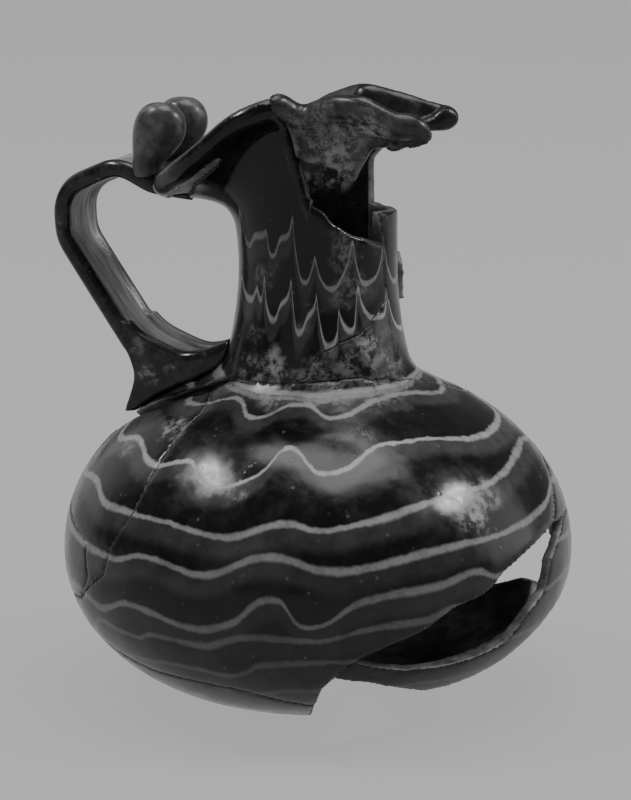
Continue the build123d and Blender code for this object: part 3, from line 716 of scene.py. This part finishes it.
def mouth_rise(place, rim):
    """Share of the mouth's own rise at a place, from the neck's top to the rim."""
    if place.z <= NECK_TOP:
        return 0
    return (place.z - NECK_TOP) / max(rim - NECK_TOP, MM)


def wall_direction(place, rim):
    """Square out of the wall at a place, before the lip rolls over."""
    level = Vector((place.x, place.y, 0)).normalized()
    if place.z > NECK_TOP:
        leaning = max(0.0, min(mouth_rise(place, rim) - LEAN_START, LEAN_SPAN))
        lean = math.radians(leaning / LEAN_SPAN * LEAN_DEGREES)
        return level * math.cos(lean) - Vector((0, 0, math.sin(lean)))
    blend = min(max((place.z - LEVEL_LOW) / (LEVEL_HIGH - LEVEL_LOW), 0), 1)
    foot = BODY_CENTRE + (place.z - BODY_CENTRE) * blend
    return (place - Vector((0, 0, foot))).normalized()


def rim_heights(mesh):
    """Greatest height of a mesh round the axis, even from sector to sector."""
    tops = {}
    for vertex in mesh.vertices:
        sector = math.floor(math.atan2(vertex.co.y, vertex.co.x) / SECTOR)
        tops[sector] = max(tops.get(sector, 0), vertex.co.z)

    def height_at(place):
        turn = math.atan2(place.y, place.x) / SECTOR - 0.5
        low = math.floor(turn)
        first, second = tops.get(low, NECK_TOP), tops.get(low + 1, NECK_TOP)
        return first + (second - first) * (turn - low)

    return height_at


def face_kind(normal, place, rim):
    """Tells the outside of the wall, its inside and a broken edge apart."""
    facing = normal.dot(wall_direction(place, rim))
    side = normal.dot(Vector((-place.y, place.x, 0)).normalized())
    below_lip = mouth_rise(place, rim) < LIP_RISE
    if abs(side) > ALONG_WALL or (abs(facing) < OFF_WALL and below_lip):
        return BREAK
    return OUTSIDE if facing > TOWARDS_AXIS else INSIDE


def clear_stray_breaks(mesh, kinds):
    """Gives small stray spots of break back to the wall that they lie on."""
    root = list(range(len(mesh.vertices)))

    def find(index):
        while root[index] != index:
            root[index] = root[root[index]]
            index = root[index]
        return index

    broken = [face for face in mesh.polygons if kinds[face.index] == BREAK]
    for face in broken:
        first = find(face.vertices[0])
        for index in face.vertices[1:]:
            root[find(index)] = first
    counts = Counter(find(face.vertices[0]) for face in broken)
    for face in broken:
        if counts[find(face.vertices[0])] < LEAST_BREAK:
            kinds[face.index] = OUTSIDE


def move_vertices(mesh, places):
    """Moves vertices to new places, all at once, so that the normals hold meanwhile."""
    for index, place in places:
        mesh.vertices[index].co = place
    mesh.update()


def swell_lip(mesh, rim, broken, height):
    """Fills the rolled lip out to its full thickness."""
    places = []
    for index, vertex in enumerate(mesh.vertices):
        top = rim(vertex.co)
        if broken[index] or vertex.co.z < NECK_TOP + LIP_DEPTH or top < NECK_TOP + 2 * LIP_DEPTH:
            continue
        share = (vertex.co.z - top + LIP_DEPTH) / (LIP_DEPTH * LIP_GROWTH)
        share = min(max(share, 0), 1)
        smooth = share * share * (3 - 2 * share)
        if smooth:
            places.append((index, vertex.co + vertex.normal * (height * smooth)))
    move_vertices(mesh, places)


def ripple_skin(mesh, broken, depth, edge_depth):
    """Moves the skin by a little hand-worked unevenness, more along the breaks."""
    places = []
    for index, vertex in enumerate(mesh.vertices):
        slow = noise.noise(vertex.co * RIPPLE_SCALE) * depth
        quick = noise.noise(vertex.co * EDGE_SCALE) * edge_depth * broken[index]
        places.append((index, vertex.co + vertex.normal * (slow + quick)))
    move_vertices(mesh, places)


def smoother(shape, name, rounds):
    """A modifier that smooths a shape a number of times."""
    smooth = shape.modifiers.new(name, "SMOOTH")
    smooth.factor = SMOOTHING
    smooth.iterations = rounds
    return smooth


def apply_modifiers(shape):
    """Puts what the modifiers make in the place of the shape's mesh."""
    graph = bpy.context.evaluated_depsgraph_get()
    skin = bpy.data.meshes.new_from_object(shape.evaluated_get(graph))
    before = shape.data
    shape.modifiers.clear()
    shape.data = skin
    bpy.data.meshes.remove(before)
    skin.name = shape.name


def worn_skin(node, rounds):
    """An even mesh over a CAD node, with its corners worn round."""
    sizes = bpy.context.scene.jug_sizes
    name = node + "_glass"
    mesh = bmesh.new()
    mesh.from_mesh(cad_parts[node].data)
    bmesh.ops.remove_doubles(mesh, verts=mesh.verts, dist=MERGE_GAP)
    data = bpy.data.meshes.new(name)
    mesh.to_mesh(data)
    mesh.free()
    shape = bpy.data.objects.new(name, data)
    bpy.context.scene.collection.objects.link(shape)
    even = shape.modifiers.new("Even skin", "REMESH")
    even.mode = "VOXEL"
    even.voxel_size = sizes.broad_step if node in BROAD_SHERDS else sizes.skin_step
    smoother(shape, "Wear", rounds)
    apply_modifiers(shape)
    return shape


def even_walls(shape, broken, rounds):
    """Evens the walls of a sherd and leaves its breaks as they are."""
    group = shape.vertex_groups.new(name="walls")
    group.add([index for index, value in enumerate(broken) if not value], 1.0, "REPLACE")
    smoother(shape, "Even walls", rounds).vertex_group = group.name
    apply_modifiers(shape)
    shape.vertex_groups.clear()


def stand_in(shape, node, broken):
    """Ripples and shades a finished shape, and lets it stand for its CAD node."""
    sizes = bpy.context.scene.jug_sizes
    ripple_skin(shape.data, broken, sizes.ripple, sizes.edge_ripple)
    shape.data.polygons.foreach_set("use_smooth", [True] * len(shape.data.polygons))
    shape.data.update()
    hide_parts(node)
    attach(shape, BODY)


def dress_sherd(node, outside, inside):
    """A worn sherd with a glass outside, a glass inside and broken edges."""
    sizes = bpy.context.scene.jug_sizes
    glass = glass_set()
    lipped = node in LIPPED_SHERDS
    shape = worn_skin(node, sizes.mouth_rounds if lipped else sizes.wear_rounds)
    mesh = shape.data
    for name in (outside, inside, "fracture_glass"):
        mesh.materials.append(glass[name])
    rim = rim_heights(mesh)
    kinds = [face_kind(face.normal, face.center, rim(face.center)) for face in mesh.polygons]
    clear_stray_breaks(mesh, kinds)
    mesh.polygons.foreach_set("material_index", kinds)
    broken = [False] * len(mesh.vertices)
    for face in mesh.polygons:
        if kinds[face.index] == BREAK:
            for index in face.vertices:
                broken[index] = True
    even_walls(shape, broken, sizes.wall_rounds)
    if lipped:
        swell_lip(shape.data, rim, broken, sizes.lip_swell)
    stand_in(shape, node, broken)


def dress_drawn(node, glass_name):
    """A worn piece of drawn glass, which has no broken edges."""
    shape = worn_skin(node, bpy.context.scene.jug_sizes.strap_rounds)
    shape.data.materials.append(glass_set()[glass_name])
    stand_in(shape, node, [False] * len(shape.data.vertices))


# ---------------------------------------------------------------- stage

def lay_floor(setting):
    """A pale floor that is lit from below, under the whole picture."""
    mesh = bmesh.new()
    bmesh.ops.create_grid(mesh, x_segments=1, y_segments=1, size=FLOOR_REACH)
    data = bpy.data.meshes.new("floor")
    mesh.to_mesh(data)
    mesh.free()
    floor = bpy.data.objects.new("floor", data)
    bpy.context.scene.collection.objects.link(floor)
    tree, surface = shader("floor_paper")
    grain = tree.noise(tree.place(), *PAPER)
    colour = tree.mix(grain, shade(setting.floor, FLOOR_GRAIN), setting.floor)
    tree.feed(surface.inputs["Base Color"], colour)
    surface.inputs["Roughness"].default_value = FLOOR_ROUGHNESS
    surface.inputs["Specular IOR Level"].default_value = FLOOR_SHEEN
    surface.inputs["Emission Color"].default_value = GLOW_TINT
    surface.inputs["Emission Strength"].default_value = setting.glow
    data.materials.append(bpy.data.materials["floor_paper"])


def hang_light(name, direction, distance, size, power, target):
    """A soft rectangular light that looks at the jug."""
    data = bpy.data.lights.new(name, "AREA")
    data.shape = "RECTANGLE"
    data.size, data.size_y = size
    data.energy = power
    light = bpy.data.objects.new(name, data)
    bpy.context.scene.collection.objects.link(light)
    direction = Vector(direction)
    light.location = target + direction.normalized() * distance
    light.rotation_euler = (-direction).to_track_quat("-Z", "Y").to_euler()


def light_room(scene):
    """An even light from all sides."""
    world = bpy.data.worlds.new("studio")
    world.use_nodes = True
    room = world.node_tree.nodes["Background"]
    room.inputs["Color"].default_value = ROOM_COLOUR
    room.inputs["Strength"].default_value = ROOM_LIGHT
    scene.world = world


def set_camera(scene, setting, target):
    """The camera at the photograph's angle, distance and framing."""
    data = bpy.data.cameras.new("camera")
    data.sensor_fit = "VERTICAL"
    data.sensor_height = SENSOR_HEIGHT
    data.lens = SENSOR_HEIGHT * setting.distance / setting.field
    data.clip_start, data.clip_end = NEAREST, FURTHEST
    camera = bpy.data.objects.new("camera", data)
    scene.collection.objects.link(camera)
    turn, lift = setting.azimuth, setting.elevation
    away = Vector((math.sin(turn) * math.cos(lift), -math.cos(turn) * math.cos(lift),
                   math.sin(lift)))
    side = Vector((math.cos(turn), math.sin(turn), 0))
    target = target - side * (AXIS_RIGHT / FRAME_HEIGHT * setting.field)
    camera.location = target + away * setting.distance
    camera.rotation_euler = (-away).to_track_quat("-Z", "Y").to_euler()
    scene.camera = camera


# ---------------------------------------------------------------- operators

class BodySherds(bpy.types.Operator):
    """Dress the sherds of the round body and the base"""
    bl_idname = "jug.body_sherds"
    bl_label = "Body sherds"

    def execute(self, context):
        for node in sorted(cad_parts):
            if node.startswith(("body_", "lower_", "base_")):
                dress_sherd(node, "trailed_glass", "inner_glass")
        return {"FINISHED"}


class NeckSherds(bpy.types.Operator):
    """Dress the sherds of the neck and shoulder"""
    bl_idname = "jug.neck_sherds"
    bl_label = "Neck sherds"

    def execute(self, context):
        for node in sorted(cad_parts):
            if node.startswith("neck_"):
                dress_sherd(node, "trailed_glass", "inner_glass")
        return {"FINISHED"}


class MouthSherds(bpy.types.Operator):
    """Dress the sherds of the three-lobed mouth"""
    bl_idname = "jug.mouth_sherds"
    bl_label = "Mouth sherds"

    def execute(self, context):
        dress_sherd("mouth_back_sherd", "mouth_glass", "mouth_glass")
        dress_sherd("mouth_front_sherd", "pale_front_glass", "mouth_glass")
        return {"FINISHED"}


class Handle(bpy.types.Operator):
    """Dress the strap handle and its thumb rest"""
    bl_idname = "jug.handle"
    bl_label = "Handle and thumb rest"

    def execute(self, context):
        dress_drawn("handle", "handle_glass")
        dress_drawn("thumb_rest", "pad_glass")
        return {"FINISHED"}


class Stage(bpy.types.Operator):
    """Lay the floor and set the lights and the camera"""
    bl_idname = "jug.stage"
    bl_label = "Stage"

    def execute(self, context):
        setting = context.scene.jug_stage
        target = Vector((0, 0, setting.aim_height))
        lay_floor(setting)
        for light in STUDIO_LIGHTS:
            hang_light(*light, target)
        light_room(context.scene)
        set_camera(context.scene, setting, target)
        return {"FINISHED"}


class JugPanel(bpy.types.Panel):
    """Buttons that build the jug piece by piece"""
    bl_idname = "VIEW3D_PT_jug"
    bl_label = "Glass jug"
    bl_space_type = "VIEW_3D"
    bl_region_type = "UI"
    bl_category = "Jug"

    def draw(self, context):
        scene = context.scene
        for group in (scene.jug_sizes, scene.jug_colours, scene.jug_stage):
            box = self.layout.box()
            for name in group.bl_rna.properties.keys():
                if name not in ("rna_type", "name"):
                    box.prop(group, name)
        for operator in OPERATORS:
            self.layout.operator(operator.bl_idname)


SETTINGS = (JugSizes, GlassColours, StageSettings)
OPERATORS = (BodySherds, NeckSherds, MouthSherds, Handle, Stage)


def register():
    for kind in (*SETTINGS, *OPERATORS, JugPanel):
        bpy.utils.register_class(kind)
    bpy.types.Scene.jug_sizes = bpy.props.PointerProperty(type=JugSizes)
    bpy.types.Scene.jug_colours = bpy.props.PointerProperty(type=GlassColours)
    bpy.types.Scene.jug_stage = bpy.props.PointerProperty(type=StageSettings)


def unregister():
    del bpy.types.Scene.jug_stage
    del bpy.types.Scene.jug_colours
    del bpy.types.Scene.jug_sizes
    for kind in reversed((*SETTINGS, *OPERATORS, JugPanel)):
        bpy.utils.unregister_class(kind)


def main():
    register()
    bpy.ops.jug.stage()
    bpy.ops.jug.body_sherds()
    bpy.ops.jug.neck_sherds()
    bpy.ops.jug.mouth_sherds()
    bpy.ops.jug.handle()


if __name__ == "__main__":
    main()
